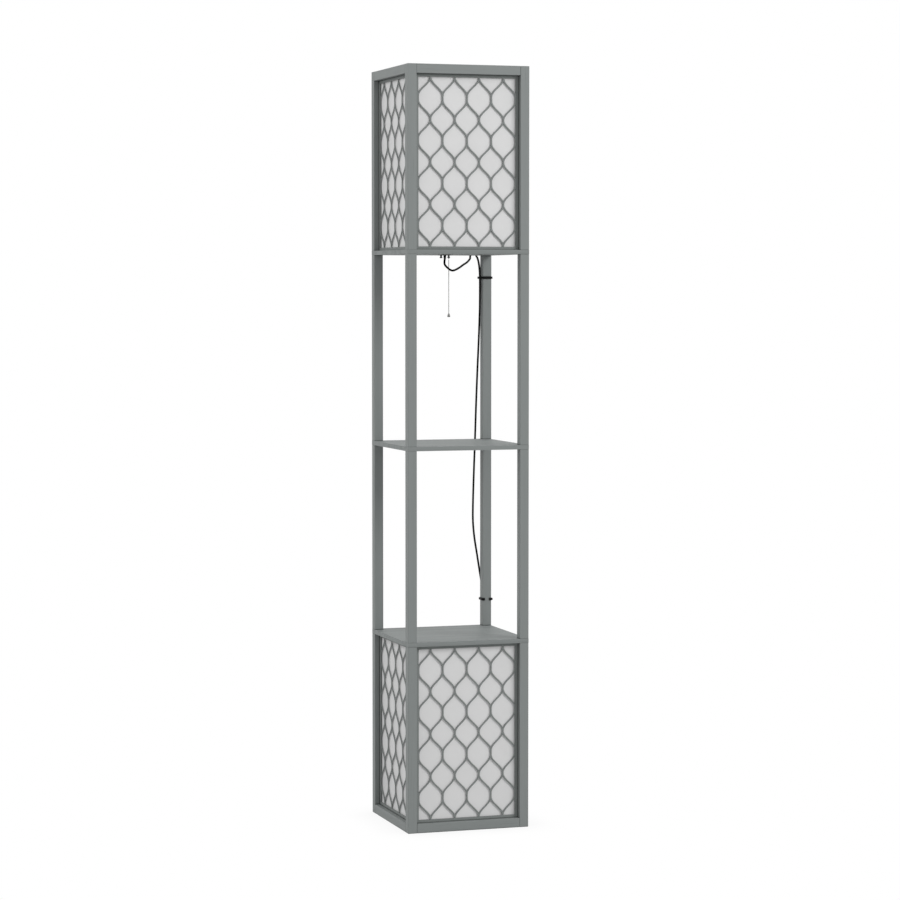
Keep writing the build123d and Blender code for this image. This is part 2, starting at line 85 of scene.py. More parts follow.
def math(tree, operation, a, b=None, clamp=False):
    """One arithmetic node; returns its output."""
    inputs = {0: a} if b is None else {0: a, 1: b}
    return add(tree, "ShaderNodeMath", inputs, operation=operation, use_clamp=clamp).outputs[0]


def new_group(name, kind, takes, gives):
    """Node group with named inputs (name, socket type, value) and outputs (name, socket type)."""
    tree = bpy.data.node_groups.new(name, kind)
    for label, socket, value in takes:
        made = tree.interface.new_socket(label, in_out="INPUT", socket_type=socket)
        if value is not None:
            made.default_value = value
    for label, socket in gives:
        tree.interface.new_socket(label, in_out="OUTPUT", socket_type=socket)
    return tree, tree.nodes.new("NodeGroupInput").outputs, tree.nodes.new("NodeGroupOutput").inputs


surface_outputs = [("Color", "NodeSocketColor"), ("Roughness", "NodeSocketFloat"),
                   ("Height", "NodeSocketFloat")]


def grey_paint_group():
    """Thin grey paint over straight grain; Stretch is the grain's cycles per metre on each axis."""
    tree, given, out = new_group("grey_paint_grain", "ShaderNodeTree", [
        ("Stretch", "NodeSocketVector", None), ("Color", "NodeSocketColor", None),
        ("Line Color", "NodeSocketColor", None), ("Lines", "NodeSocketFloat", 0.5),
        ("Figure", "NodeSocketFloat", 0.0)], surface_outputs)
    place = add(tree, "ShaderNodeTexCoord").outputs["Object"]
    wander = add(tree, "ShaderNodeTexNoise", {"Vector": place, "Scale": 9.0, "Detail": 1.0})
    bend = add(tree, "ShaderNodeVectorMath", {0: wander.outputs[1], "Scale": 0.004},
               operation="SCALE")
    bent = add(tree, "ShaderNodeVectorMath", {0: place, 1: bend.outputs[0]}, operation="ADD")
    stretched = add(tree, "ShaderNodeVectorMath", {0: bent.outputs[0], 1: given["Stretch"]},
                    operation="MULTIPLY")
    fibres = add(tree, "ShaderNodeTexNoise", {"Vector": stretched.outputs[0], "Scale": 1.0,
                                              "Detail": 5.0, "Roughness": 0.62})
    bands = add(tree, "ShaderNodeTexNoise", {"Vector": stretched.outputs[0], "Scale": 0.22,
                                             "Detail": 2.0})
    pores = add(tree, "ShaderNodeMapRange", {"Value": fibres.outputs[0], "From Min": 0.42,
                                             "From Max": 0.30})
    share = math(tree, "MULTIPLY", pores.outputs[0], given["Lines"], clamp=True)
    tone = add(tree, "ShaderNodeMapRange", {"Value": bands.outputs[0], "From Min": 0.3,
                                            "From Max": 0.7, "To Max": 0.35})
    share = math(tree, "MAXIMUM", share, math(tree, "MULTIPLY", tone.outputs[0], given["Lines"]))
    # the broad streaks of a flat-sawn board
    figure = add(tree, "ShaderNodeTexNoise", {"Vector": stretched.outputs[0], "Scale": 0.09,
                                              "Detail": 3.0, "Roughness": 0.6})
    streak = add(tree, "ShaderNodeMapRange", {"Value": figure.outputs[0], "From Min": 0.56,
                                              "From Max": 0.40})
    share = math(tree, "MAXIMUM", share, math(tree, "MULTIPLY", streak.outputs[0], given["Figure"]))
    painted = add(tree, "ShaderNodeMix", {0: share, 6: given["Color"], 7: given["Line Color"]},
                  data_type="RGBA")
    rough = add(tree, "ShaderNodeMapRange", {"Value": fibres.outputs[0], "From Min": 0.3,
                                             "From Max": 0.7, "To Min": 0.62, "To Max": 0.5})
    tree.links.new(painted.outputs[2], out["Color"])
    tree.links.new(rough.outputs[0], out["Roughness"])
    tree.links.new(fibres.outputs[0], out["Height"])
    return tree


paint_grain = grey_paint_group()
paint_color = (0.232, 0.250, 0.246, 1.0)
paint_line_color = (0.190, 0.206, 0.203, 1.0)
fibre_length, fibre_width = 7.0, 620.0        # cycles per metre along and across the grain


def new_material(name):
    """Empty material; returns it, its tree and its Principled shader."""
    made = bpy.data.materials.new(name)
    made.use_nodes = True
    return made, made.node_tree, made.node_tree.nodes["Principled BSDF"]


def grey_paint(name, along, lines=0.8, figure=0.0, bump=0.10, color=paint_color):
    """Grey paint whose grain runs along axis 0, 1 or 2, with painted shade in its joints and
    creases.
    """
    made, tree, shader = new_material(name)
    surface = add(tree, "ShaderNodeGroup", node_tree=paint_grain)
    surface.inputs["Stretch"].default_value = [fibre_length if axis == along else fibre_width
                                               for axis in range(3)]
    surface.inputs["Color"].default_value = color
    surface.inputs["Line Color"].default_value = paint_line_color
    surface.inputs["Lines"].default_value = lines
    surface.inputs["Figure"].default_value = figure
    relief = add(tree, "ShaderNodeBump", {"Height": surface.outputs["Height"], "Strength": bump,
                                          "Distance": 0.0004})
    # painted shade: the paint is darkened in joints and creases, as far as ambient occlusion finds
    # them closed in
    joint = add(tree, "ShaderNodeAmbientOcclusion", {"Distance": 0.0022}, samples=6).outputs["AO"]
    painted_joint_shade = add(tree, "ShaderNodeMapRange", {"Value": joint, "From Min": 0.55, "To Min": 0.25})
    paint_in_painted_shade = add(tree, "ShaderNodeVectorMath", {0: surface.outputs["Color"],
                                              "Scale": painted_joint_shade.outputs[0]}, operation="SCALE")
    tree.links.new(paint_in_painted_shade.outputs[0], shader.inputs["Base Color"])
    tree.links.new(surface.outputs["Roughness"], shader.inputs["Roughness"])
    tree.links.new(relief.outputs[0], shader.inputs["Normal"])
    shader.inputs["Specular IOR Level"].default_value = 0.35
    return made


paint_upright = grey_paint("grey_paint_upright", 2)
paint_across = grey_paint("grey_paint_across", 0)
paint_deep = grey_paint("grey_paint_deep", 1)
paint_board = grey_paint("grey_paint_board", 0, figure=1.0)
edge_round = 0.0008


def stand_for(made, slot, body, *nodes):
    """Gives a piece its body and hides the CAD pieces that it stands for; the slot is not used."""
    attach(made, body)
    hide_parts(*nodes)


def modelled(name, form, material, sharp=None):
    """Object of a finished form, shaded smooth up to the sharp angle where one is given."""
    mesh = bpy.data.meshes.new(name)
    form.to_mesh(mesh)
    form.free()
    if sharp:
        mesh.shade_smooth()
        mesh.set_sharp_from_angle(angle=radians(sharp))
    mesh.materials.append(material)
    return placed(name, mesh)


def eased(made, width, angle=50.0):
    """Rounds the edges sharper than the angle."""
    ease = made.modifiers.new("eased_edges", "BEVEL")
    ease.width = width
    ease.segments = 2
    ease.limit_method = "ANGLE"
    ease.angle_limit = radians(angle)
    return made


def finished(node, name, material, slot, bevel, angle=50.0):
    """Copy of a CAD piece with its triangles joined into faces and its edges eased."""
    form = bmesh.new()
    form.from_mesh(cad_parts[node].data)
    bmesh.ops.remove_doubles(form, verts=form.verts, dist=1e-6)
    bmesh.ops.dissolve_limit(form, angle_limit=radians(1), verts=form.verts, edges=form.edges)
    made = eased(modelled(name, form, material), bevel, angle)
    stand_for(made, slot, "frame", node)
    return made


for tier in ("lower_box_post", "lower_bay_post", "upper_bay_post", "upper_box_post"):
    for corner in ("front_left", "front_right", "back_left", "back_right"):
        node = f"{tier}_{corner}"
        finished(node, f"{node}_timber", paint_upright, "grey_paint", bevel=edge_round)
for node in ("lower_shelf", "middle_shelf", "top_shelf"):
    finished(node, f"{node}_board", paint_board, "grey_paint", bevel=edge_round)
for level in ("bottom_rail", "top_rail"):
    for side, paint in (("front", paint_across), ("back", paint_across),
                        ("left", paint_deep), ("right", paint_deep)):
        node = f"{level}_{side}"
        finished(node, f"{node}_timber", paint, "grey_paint", bevel=edge_round)


def moulded_mottle():
    """Faint cloudiness and fine pits of moulded or plated surfaces."""
    tree, given, out = new_group("moulded_mottle", "ShaderNodeTree", [
        ("Color", "NodeSocketColor", None), ("Worn Color", "NodeSocketColor", None),
        ("Cloud Size", "NodeSocketFloat", 60.0), ("Pit Size", "NodeSocketFloat", 900.0),
        ("Smooth", "NodeSocketFloat", 0.3), ("Dull", "NodeSocketFloat", 0.5)], surface_outputs)
    place = add(tree, "ShaderNodeTexCoord").outputs["Object"]
    cloud = add(tree, "ShaderNodeTexNoise", {"Vector": place, "Scale": given["Cloud Size"],
                                             "Detail": 3.0})
    pits = add(tree, "ShaderNodeTexNoise", {"Vector": place, "Scale": given["Pit Size"],
                                            "Detail": 2.0})
    share = add(tree, "ShaderNodeMapRange", {"Value": cloud.outputs[0], "From Min": 0.35,
                                             "From Max": 0.7})
    mixed = add(tree, "ShaderNodeMix", {0: share.outputs[0], 6: given["Color"],
                                        7: given["Worn Color"]}, data_type="RGBA")
    rough = add(tree, "ShaderNodeMapRange", {
        "Value": cloud.outputs[0], "From Min": 0.3, "From Max": 0.7,
        "To Min": given["Smooth"], "To Max": given["Dull"]})
    tree.links.new(mixed.outputs[2], out["Color"])
    tree.links.new(rough.outputs[0], out["Roughness"])
    tree.links.new(pits.outputs[0], out["Height"])
    return tree


mottle = moulded_mottle()


def moulded(name, color, worn, smooth, dull, bump=0.02, cloud=60.0, metal=0.0, **set_on_shader):
    """Moulded or plated material; its roughness goes from smooth to dull."""
    made, tree, shader = new_material(name)
    surface = add(tree, "ShaderNodeGroup", node_tree=mottle)
    for label, value in (("Color", (*color, 1.0)), ("Worn Color", (*worn, 1.0)),
                         ("Cloud Size", cloud), ("Smooth", smooth), ("Dull", dull)):
        surface.inputs[label].default_value = value
    relief = add(tree, "ShaderNodeBump", {"Height": surface.outputs["Height"], "Strength": bump,
                                          "Distance": 0.0005})
    tree.links.new(surface.outputs["Color"], shader.inputs["Base Color"])
    tree.links.new(surface.outputs["Roughness"], shader.inputs["Roughness"])
    tree.links.new(relief.outputs[0], shader.inputs["Normal"])
    shader.inputs["Metallic"].default_value = metal
    for label, value in set_on_shader.items():
        shader.inputs[label.replace("_", " ")].default_value = value
    return made


def dressed(material, *nodes):
    """Gives CAD pieces that show as they are their material."""
    for node in nodes:
        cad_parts[node].data.materials.clear()
        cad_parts[node].data.materials.append(material)


zinc = moulded("zinc_plate", (0.50, 0.50, 0.49), (0.38, 0.38, 0.38), 0.28, 0.5, bump=0.05,
               metal=1.0)
dressed(zinc, "joining_studs")

# ------------------------------------------------------------------ fretwork
# Eight thin boards of hard fibreboard, sawn into a net of ogees, two strips meeting at every
# contact, and painted grey. Each slides into grooves in the posts and the rail, up to the shelf.
fret_thick = 0.0016           # planed thinner than its groove, clear of the sheet behind
fret_strip = 0.0027
strip_contact = 0.0001        # between the middle lines of two strips where they join
fret_columns = fret_rows = 4
fret_side_border, fret_end_border = 0.0070, 0.0062
fret_face = 0.119             # from the middle of the lamp
groove_reach = 0.0022         # how far the board goes into a groove
ogee_rise = 0.884             # share of the half cell in which a strip swings across
ogee_low_straight = 0.012     # share in which it stands upright at the low contact
outline_points = 72           # round each gap
halvings = 40                 # in the search for a gap's tip


def gap_half_width(height, half_cell, pitch, odd):
    """Half the width of a gap at a height from its middle; odd gaps lie between low contacts."""
    rise = half_cell - height if odd else height
    share = min(max((rise / half_cell - ogee_low_straight) / ogee_rise, 0.0), 1.0)
    lean = (1 - cos(pi * share)) / 2
    swing = pitch / 2 - strip_contact
    slope = pi / (2 * ogee_rise * half_cell) * sin(pi * share) * swing
    return (strip_contact / 2 + (lean if odd else 1 - lean) * swing
            - fret_strip / 2 * sqrt(1 + slope ** 2))


def gap_tip(half_cell, pitch, odd):
    """Height at which a gap closes to a point."""
    low, high = 0.0, half_cell
    for _ in range(halvings):
        middle = (low + high) / 2
        if gap_half_width(middle, half_cell, pitch, odd) > 0:
            low = middle
        else:
            high = middle
    return low


def joined(tree, *parts):
    """One geometry of several."""
    join = add(tree, "GeometryNodeJoinGeometry")
    for part in parts:
        tree.links.new(part, join.inputs[0])
    return join.outputs[0]


def fretwork_tree():
    """Board with ogee gaps, drawn flat, sawn out, given its thickness and stood upright."""
    tree, given, out = new_group("ogee_fretwork", "GeometryNodeTree", [
        ("Geometry", "NodeSocketGeometry", None), ("Half Width", "NodeSocketFloat", 0.1),
        ("Half Height", "NodeSocketFloat", 0.17), ("Middle Height", "NodeSocketFloat", 0.2),
        ("Board Half Width", "NodeSocketFloat", 0.11), ("Board Low", "NodeSocketFloat", 0.0),
        ("Board High", "NodeSocketFloat", 0.4), ("Columns", "NodeSocketInt", 4),
        ("Rows", "NodeSocketInt", 4), ("Odd Tip", "NodeSocketFloat", 0.03),
        ("Even Tip", "NodeSocketFloat", 0.03), ("Strip", "NodeSocketFloat", 0.003),
        ("Contact", "NodeSocketFloat", 0.001), ("Thickness", "NodeSocketFloat", 0.003),
        ("Face", "NodeSocketFloat", 0.119), ("Turn", "NodeSocketFloat", 0.0),
        ("Paint", "NodeSocketMaterial", None)], [("Geometry", "NodeSocketGeometry")])
    half_cell = math(tree, "DIVIDE", given["Half Height"], given["Rows"])
    pitch = math(tree, "DIVIDE", math(tree, "MULTIPLY", given["Half Width"], 2.0), given["Columns"])
    across = math(tree, "SUBTRACT", math(tree, "DIVIDE", pitch, 2.0), given["Contact"])
    index = add(tree, "GeometryNodeInputIndex").outputs[0]
    turn = math(tree, "MULTIPLY", index, 2 * pi / outline_points)

    def gap(odd, tip):
        """Closed outline of one gap about the origin."""
        height = math(tree, "MULTIPLY", math(tree, "COSINE", turn), tip)
        up = math(tree, "ABSOLUTE", height)
        rise = math(tree, "SUBTRACT", half_cell, up) if odd else up
        share = math(tree, "DIVIDE", math(tree, "SUBTRACT", math(tree, "DIVIDE", rise, half_cell),
                                          ogee_low_straight), ogee_rise, clamp=True)
        swing = math(tree, "MULTIPLY", share, pi)
        lean = math(tree, "MULTIPLY", math(tree, "SUBTRACT", 1.0, math(tree, "COSINE", swing)), 0.5)
        slope = math(tree, "MULTIPLY", math(tree, "SINE", swing), pi / (2 * ogee_rise))
        slope = math(tree, "DIVIDE", slope, half_cell)
        steep = math(tree, "POWER", math(tree, "MULTIPLY", slope, across), 2.0)
        strip = math(tree, "MULTIPLY", math(tree, "SQRT", math(tree, "ADD", steep, 1.0)),
                     math(tree, "DIVIDE", given["Strip"], 2.0))
        reach = lean if odd else math(tree, "SUBTRACT", 1.0, lean)
        middle = math(tree, "ADD", math(tree, "MULTIPLY", reach, across),
                      math(tree, "DIVIDE", given["Contact"], 2.0))
        wide = math(tree, "MAXIMUM", math(tree, "SUBTRACT", middle, strip), 0.0)
        wide = math(tree, "MULTIPLY", wide, math(tree, "SIGN", math(tree, "SINE", turn)))
        ring = add(tree, "GeometryNodeCurvePrimitiveCircle", {"Resolution": outline_points,
                                                              "Radius": 1.0})
        place = add(tree, "ShaderNodeCombineXYZ", {0: wide, 1: height})
        return add(tree, "GeometryNodeSetPosition", {"Geometry": ring.outputs[0],
                                                     "Position": place.outputs[0]}).outputs[0]

    def spread(outline, columns, rows, wide, high):
        """Copies of an outline on a lattice about the origin."""
        lattice = add(tree, "GeometryNodeMeshGrid", {"Size X": wide, "Size Y": high,
                                                     "Vertices X": columns, "Vertices Y": rows})
        copies = add(tree, "GeometryNodeInstanceOnPoints", {"Points": lattice.outputs[0],
                                                            "Instance": outline})
        return add(tree, "GeometryNodeRealizeInstances", {0: copies.outputs[0]}).outputs[0]

    high = math(tree, "MULTIPLY", given["Half Height"], 2.0)
    wide = math(tree, "MULTIPLY", given["Half Width"], 2.0)
    odd = spread(gap(True, given["Odd Tip"]), given["Columns"], given["Rows"],
                 math(tree, "SUBTRACT", wide, pitch),
                 math(tree, "SUBTRACT", high, math(tree, "MULTIPLY", half_cell, 2.0)))
    even = spread(gap(False, given["Even Tip"]), math(tree, "ADD", given["Columns"], 1.0),
                  math(tree, "ADD", given["Rows"], 1.0), wide, high)
    gaps = joined(tree, odd, even)
    # gaps that reach past the window are cut off at its edge
    place = add(tree, "GeometryNodeInputPosition").outputs[0]
    where = add(tree, "ShaderNodeSeparateXYZ", {0: place})
    kept = add(tree, "ShaderNodeCombineXYZ")
    for axis, half in ((0, given["Half Width"]), (1, given["Half Height"])):
        inside = add(tree, "ShaderNodeClamp", {"Value": where.outputs[axis], "Max": half,
                                               "Min": math(tree, "MULTIPLY", half, -1.0)})
        tree.links.new(inside.outputs[0], kept.inputs[axis])
    gaps = add(tree, "GeometryNodeSetPosition", {"Geometry": gaps, "Position": kept.outputs[0]})
    lift = add(tree, "ShaderNodeCombineXYZ", {1: given["Middle Height"]})
    gaps = add(tree, "GeometryNodeTransform", {"Geometry": gaps.outputs[0],
                                               "Translation": lift.outputs[0]})
    board_high = math(tree, "SUBTRACT", given["Board High"], given["Board Low"])
    board_ends = math(tree, "ADD", given["Board High"], given["Board Low"])
    board_middle = math(tree, "DIVIDE", board_ends, 2.0)
    board = add(tree, "GeometryNodeCurvePrimitiveQuadrilateral", {
        "Width": math(tree, "MULTIPLY", given["Board Half Width"], 2.0), "Height": board_high})
    raise_board = add(tree, "ShaderNodeCombineXYZ", {1: board_middle})
    board = add(tree, "GeometryNodeTransform", {"Geometry": board.outputs[0],
                                                "Translation": raise_board.outputs[0]})
    outlines = joined(tree, gaps.outputs[0], board.outputs[0])
    sawn = add(tree, "GeometryNodeFillCurve", {"Curve": outlines}).outputs[0]
    front = add(tree, "GeometryNodeExtrudeMesh", {"Mesh": sawn, "Offset Scale": given["Thickness"],
                                                  "Individual": False}).outputs[0]
    back = add(tree, "GeometryNodeFlipFaces", {0: sawn}).outputs[0]
    closed = add(tree, "GeometryNodeMergeByDistance", {"Geometry": joined(tree, back, front),
                                                       "Distance": 1e-6})
    forward = add(tree, "ShaderNodeCombineXYZ", {
        1: math(tree, "SUBTRACT", given["Thickness"], given["Face"])})
    upright = add(tree, "GeometryNodeTransform", {"Geometry": closed.outputs[0],
                                                  "Translation": forward.outputs[0],
                                                  "Rotation": (pi / 2, 0.0, 0.0)})
    around = add(tree, "ShaderNodeCombineXYZ", {2: given["Turn"]})
    turned_board = add(tree, "GeometryNodeTransform", {"Geometry": upright.outputs[0],
                                                       "Rotation": around.outputs[0]})
    real = add(tree, "GeometryNodeRealizeInstances", {0: turned_board.outputs[0]})
    painted = add(tree, "GeometryNodeSetMaterial", {"Geometry": real.outputs[0],
                                                    "Material": given["Paint"]})
    tree.links.new(painted.outputs[0], out["Geometry"])
    return tree


def grown(name, tree, **sizes):
    """Plain mesh made by a geometry tree, its named inputs set before it is first worked out."""
    holder = placed(f"{name}_maker", bpy.data.meshes.new(f"{name}_maker"))
    maker = holder.modifiers.new("maker", "NODES")
    maker.node_group = tree
    for socket in tree.interface.items_tree:
        label = socket.name.replace(" ", "_")
        if socket.in_out == "INPUT" and label in sizes:
            maker[socket.identifier] = sizes[label]
    holder.update_tag()
    evaluated = holder.evaluated_get(bpy.context.evaluated_depsgraph_get())
    mesh = bpy.data.meshes.new_from_object(evaluated)
    mesh.name = name
    holder.modifiers.remove(maker)
    bpy.data.objects.remove(holder)
    return placed(name, mesh)


# the fretwork paint has the same painted shade in its creases as the timber
fret_paint = grey_paint("grey_paint_fretwork", 2, lines=0.25, bump=0.04,
                        color=(0.205, 0.222, 0.216, 1.0))
fretwork = fretwork_tree()
inner_half = 0.111            # from the middle of the lamp to the inner faces of the posts
bottom_rail_top, lower_shelf_under = 0.019, 0.383
top_shelf_top, top_rail_under = 1.192, 1.547
windows = {"lower": (bottom_rail_top, lower_shelf_under, groove_reach, 0.0),
           "upper": (top_shelf_top, top_rail_under, 0.0, groove_reach)}
for box, (sill, head, below, above) in windows.items():
    half_wide = inner_half - fret_side_border
    half_high = (head - sill) / 2 - fret_end_border
    half_cell, pitch = half_high / fret_rows, 2 * half_wide / fret_columns
    for side, turn in (("front", 0.0), ("right", pi / 2), ("back", pi), ("left", -pi / 2)):
        panel = grown(f"{box}_{side}_fretwork", fretwork,
                      Half_Width=half_wide, Half_Height=half_high,
                      Middle_Height=(sill + head) / 2, Board_Half_Width=inner_half + groove_reach,
                      Board_Low=sill - below, Board_High=head + above,
                      Columns=fret_columns, Rows=fret_rows,
                      Odd_Tip=gap_tip(half_cell, pitch, True),
                      Even_Tip=gap_tip(half_cell, pitch, False),
                      Strip=fret_strip, Contact=strip_contact, Thickness=fret_thick,
                      Face=fret_face, Turn=turn, Paint=fret_paint)
        stand_for(panel, "grey_paint", "frame", f"{box}_fret_{side}")

# ------------------------------------------------------------------ diffuser sheets
# Eight sheets of plain matt white plastic, 1 mm thick, cut to the size of the openings. Each
# stands in the same grooves as its fretwork board, close behind it.
sheet_white = moulded("diffuser_sheet", (0.715, 0.715, 0.715), (0.70, 0.70, 0.70), 0.5, 0.62,
                      bump=0.01, cloud=14.0)
dressed(sheet_white, "lower_diffusers", "upper_diffusers")

# ------------------------------------------------------------------ switch under the upper bulb
# Black phenolic housing with its neck through the top shelf, closed below by a pressed cover
# with two bell-mouthed chain guides. A plated lever inside holds the chain's lead, which comes
# down through one of the guides.
phenolic = moulded("black_phenolic", (0.012, 0.011, 0.010), (0.020, 0.018, 0.017), 0.25, 0.4,
                   bump=0.03)
nickel = moulded("nickel_plate", (0.66, 0.65, 0.62), (0.55, 0.54, 0.52), 0.16, 0.3, bump=0.02,
                 metal=1.0)
dark_nickel = moulded("dark_nickel", (0.16, 0.165, 0.165), (0.11, 0.115, 0.115), 0.3, 0.45,
                      bump=0.02, metal=0.6)
holder_x = -0.0099            # the switch and the upper lampholder stand left of the middle
housing_rings = [(0.0127, 1.1831), (0.0130, 1.1834), (0.0130, 1.1920), (0.0192, 1.1920),
                 (0.0200, 1.1926), (0.0200, 1.1975), (0.0196, 1.1979), (0.0196, 1.1990),
                 (0.0200, 1.1994), (0.0200, 1.2135), (0.0194, 1.2158), (0.0188, 1.2160),
                 (0.0172, 1.2160), (0.0172, 1.1946), (0.0105, 1.1946), (0.0105, 1.1831)]


def turned(name, rings, material, x=0.0, hollow=0.0, segments=48):
    """Closed turned piece through (radius, height) rings, with a bore of radius hollow if given."""
    outline = list(rings)
    if hollow:
        outline += [(hollow, outline[-1][1]), (hollow, outline[0][1])]
        outline.append(outline[0])
    form = bmesh.new()
    rows = []
    for radius, z in outline:
        if radius == 0:
            rows.append([form.verts.new((x, 0.0, z))])
        else:
            rows.append([form.verts.new((x + radius * cos(2 * pi * i / segments),
                                         radius * sin(2 * pi * i / segments), z))
                         for i in range(segments)])
    for low, high in zip(rows, rows[1:]):
        for i in range(segments):
            j = (i + 1) % segments
            if len(low) == 1:
                form.faces.new((low[0], high[j], high[i]))
            elif len(high) == 1:
                form.faces.new((low[i], low[j], high[0]))
            else:
                form.faces.new((low[i], low[j], high[j], high[i]))
    if not hollow:
        for row in (rows[0], rows[-1]):
            if len(row) > 1:
                form.faces.new(row)
    bmesh.ops.remove_doubles(form, verts=form.verts, dist=1e-7)
    bmesh.ops.recalc_face_normals(form, faces=form.faces)
    return modelled(name, form, material, sharp=35)


housing = turned("switch_housing_shell", housing_rings + housing_rings[:1], phenolic, x=holder_x,
                 segments=64)
stand_for(housing, "black_moulding", "frame", "switch_housing")

finished("housing_cover", "pressed_cover", phenolic, "black_moulding", bevel=0.0003, angle=60.0)
dressed(nickel, "chain_lead")
dressed(zinc, "switch_lever")


def united(node, name, slot, *pieces):
    """Makes turned pieces into the one object that stands for a CAD piece."""
    form = bmesh.new()
    for piece in pieces:
        form.from_mesh(piece.data)
    made = modelled(name, form, pieces[0].data.materials[0])
    for piece in pieces:
        bpy.data.objects.remove(piece)
    stand_for(made, slot, "frame", node)


guide_rings = [(0.0021, 1.1758), (0.0025, 1.1759), (0.0028, 1.1765), (0.0028, 1.1773),
               (0.0025, 1.1781), (0.0021, 1.1785), (0.0020, 1.1815)]
guide_offsets = (-0.0082, 0.0084)       # either side of the cord
united("chain_guides", "guide_knobs", "chain_plating", *[
    turned(f"guide_{i}", guide_rings, dark_nickel, x=holder_x + across, hollow=0.0016, segments=24)
    for i, across in enumerate(guide_offsets)])

# ------------------------------------------------------------------ lampholders and bulbs
# Two phenolic lampholders: the upper one stands on the switch, the lower one hangs under the
# lower shelf. Each holds a frosted screw bulb with a plated cap.
brass = moulded("brass", (0.62, 0.42, 0.16), (0.50, 0.33, 0.12), 0.22, 0.38, bump=0.03, metal=1.0)
frosted = moulded("frosted_glass", (0.86, 0.86, 0.85), (0.84, 0.84, 0.83), 0.35, 0.45, bump=0.005)
holders = {"upper": (holder_x, 1.2160, 1), "lower": (0.0, 0.3790, -1)}    # axis, foot, up or down
thread_pitch, thread_depth, thread_steps = 0.0036, 0.00022, 6             # steps in each pitch


def threaded(low, high, radius):
    """Rings of a rolled screw thread between two heights."""
    steps = round((high - low) / thread_pitch * thread_steps)
    return [(radius - thread_depth * (1 - cos(2 * pi * i / thread_steps)),
             low + (high - low) * i / steps) for i in range(steps + 1)]


def flowing(rings, steps=5):
    """More rings along a smooth line through the given ones."""
    ends = [Vector(rings[0]) * 2 - Vector(rings[1]), *map(Vector, rings), Vector(rings[-1])]
    line = []
    for a, b, c, d in zip(ends, ends[1:], ends[2:], ends[3:]):
        for step in range(steps):
            t = step / steps
            line.append(tuple(0.5 * (2 * b + (c - a) * t + (2 * a - 5 * b + 4 * c - d) * t ** 2
                                     + (3 * b - a - 3 * c + d) * t ** 3)))
    return line + [tuple(rings[-1])]


first_grip, grip_pitch, grips = 0.012, 0.0024, 7
grip_rings = []
for grip in range(grips):
    grip_low = first_grip + grip * grip_pitch
    grip_rings += [(0.0185, grip_low), (0.0181, grip_low + grip_pitch * 2 / 3)]
holder_rings = [(0.0179, 0.0), (0.0185, 0.0006), *grip_rings, (0.0185, 0.0350), (0.0180, 0.0359),
                (0.0172, 0.0360), (0.0144, 0.0360), (0.0140, 0.0356), (0.0140, 0.0060),
                (0.0, 0.0060)]
shell_rings = [(0.0, 0.0060), (0.0132, 0.0060), *threaded(0.0066, 0.0318, 0.01375),
               (0.01375, 0.0330), (0.01330, 0.0330), *threaded(0.0070, 0.0318, 0.01330)[::-1],
               (0.0128, 0.0065), (0.0, 0.0065)]
cap_rings = [(0.0, 0.0065), (0.0038, 0.0065), (0.0045, 0.0068), (0.0070, 0.0083),
             (0.0070, 0.0085), (0.0120, 0.0085), (0.0127, 0.0093),
             *threaded(0.0100, 0.0280, 0.0130), (0.0130, 0.0335), (0.0, 0.0335)]
glass_rings = [(0.0, 0.0335)] + flowing([
    (0.0130, 0.0335), (0.0131, 0.0367), (0.0174, 0.0527), (0.0254, 0.0671), (0.0298, 0.0825),
    (0.0284, 0.0951), (0.0218, 0.1055), (0.0110, 0.1117), (0.0, 0.1135)])


def on_holder(which, name, rings, material, segments=48):
    """Turned piece on the axis of one lampholder, its heights counted from the foot."""
    x, foot, way = holders[which]
    return turned(name, [(radius, foot + way * z) for radius, z in rings], material, x=x,
                  segments=segments)


flange_rings = [(0.0, -0.0040), (0.0218, -0.0040), (0.0220, -0.0038), (0.0220, -0.0008),
                (0.0212, 0.0)]
inlet_rings = [(0.0, -0.0055), (0.0034, -0.0055), (0.0034, 0.0040), (0.0028, 0.0048),
               (0.0024, 0.0050), (0.0021, 0.0030), (0.0, 0.0030)]
inlet_place = (0.0, 0.0205, 0.3740)
inlet = turned("inlet", inlet_rings, phenolic, segments=24)
inlet.data.transform(Matrix.Translation(inlet_place) @ Matrix.Rotation(-pi / 2, 4, "X"))
united("upper_lampholder", "upper_holder", "black_moulding",
       on_holder("upper", "holder", [(0.0, 0.0)] + holder_rings, phenolic))
united("lower_lampholder", "lower_holder", "black_moulding",
       on_holder("lower", "holder", flange_rings + holder_rings, phenolic), inlet)
united("screw_shells", "threaded_shells", "brass",
       *[on_holder(which, f"{which}_shell", shell_rings, brass) for which in holders])
united("bulb_caps", "threaded_caps", "chain_plating",
       *[on_holder(which, f"{which}_cap", cap_rings, nickel) for which in holders])
for which in holders:
    united(f"{which}_bulb", f"{which}_glass", "bulb_glass",
           on_holder(which, "glass", glass_rings, frosted, segments=64))

# ------------------------------------------------------------------ pull chain
# Plated ball chain, of hollow balls on short links, with a small turned bell at its end. It
# hangs from the switch by its lead, which runs through the right-hand guide.
chain_nickel = moulded("chain_nickel", (0.36, 0.36, 0.355), (0.30, 0.30, 0.295), 0.25, 0.4,
                       metal=1.0)
bell_nickel = moulded("bell_nickel", (0.22, 0.22, 0.215), (0.17, 0.17, 0.165), 0.22, 0.36,
                      metal=1.0)
chain_x = holder_x + 0.0086
chain_top, chain_balls = 1.1704, 50
chain_pitch, ball_radius, link_radius = 0.0022, 0.00095, 0.0006


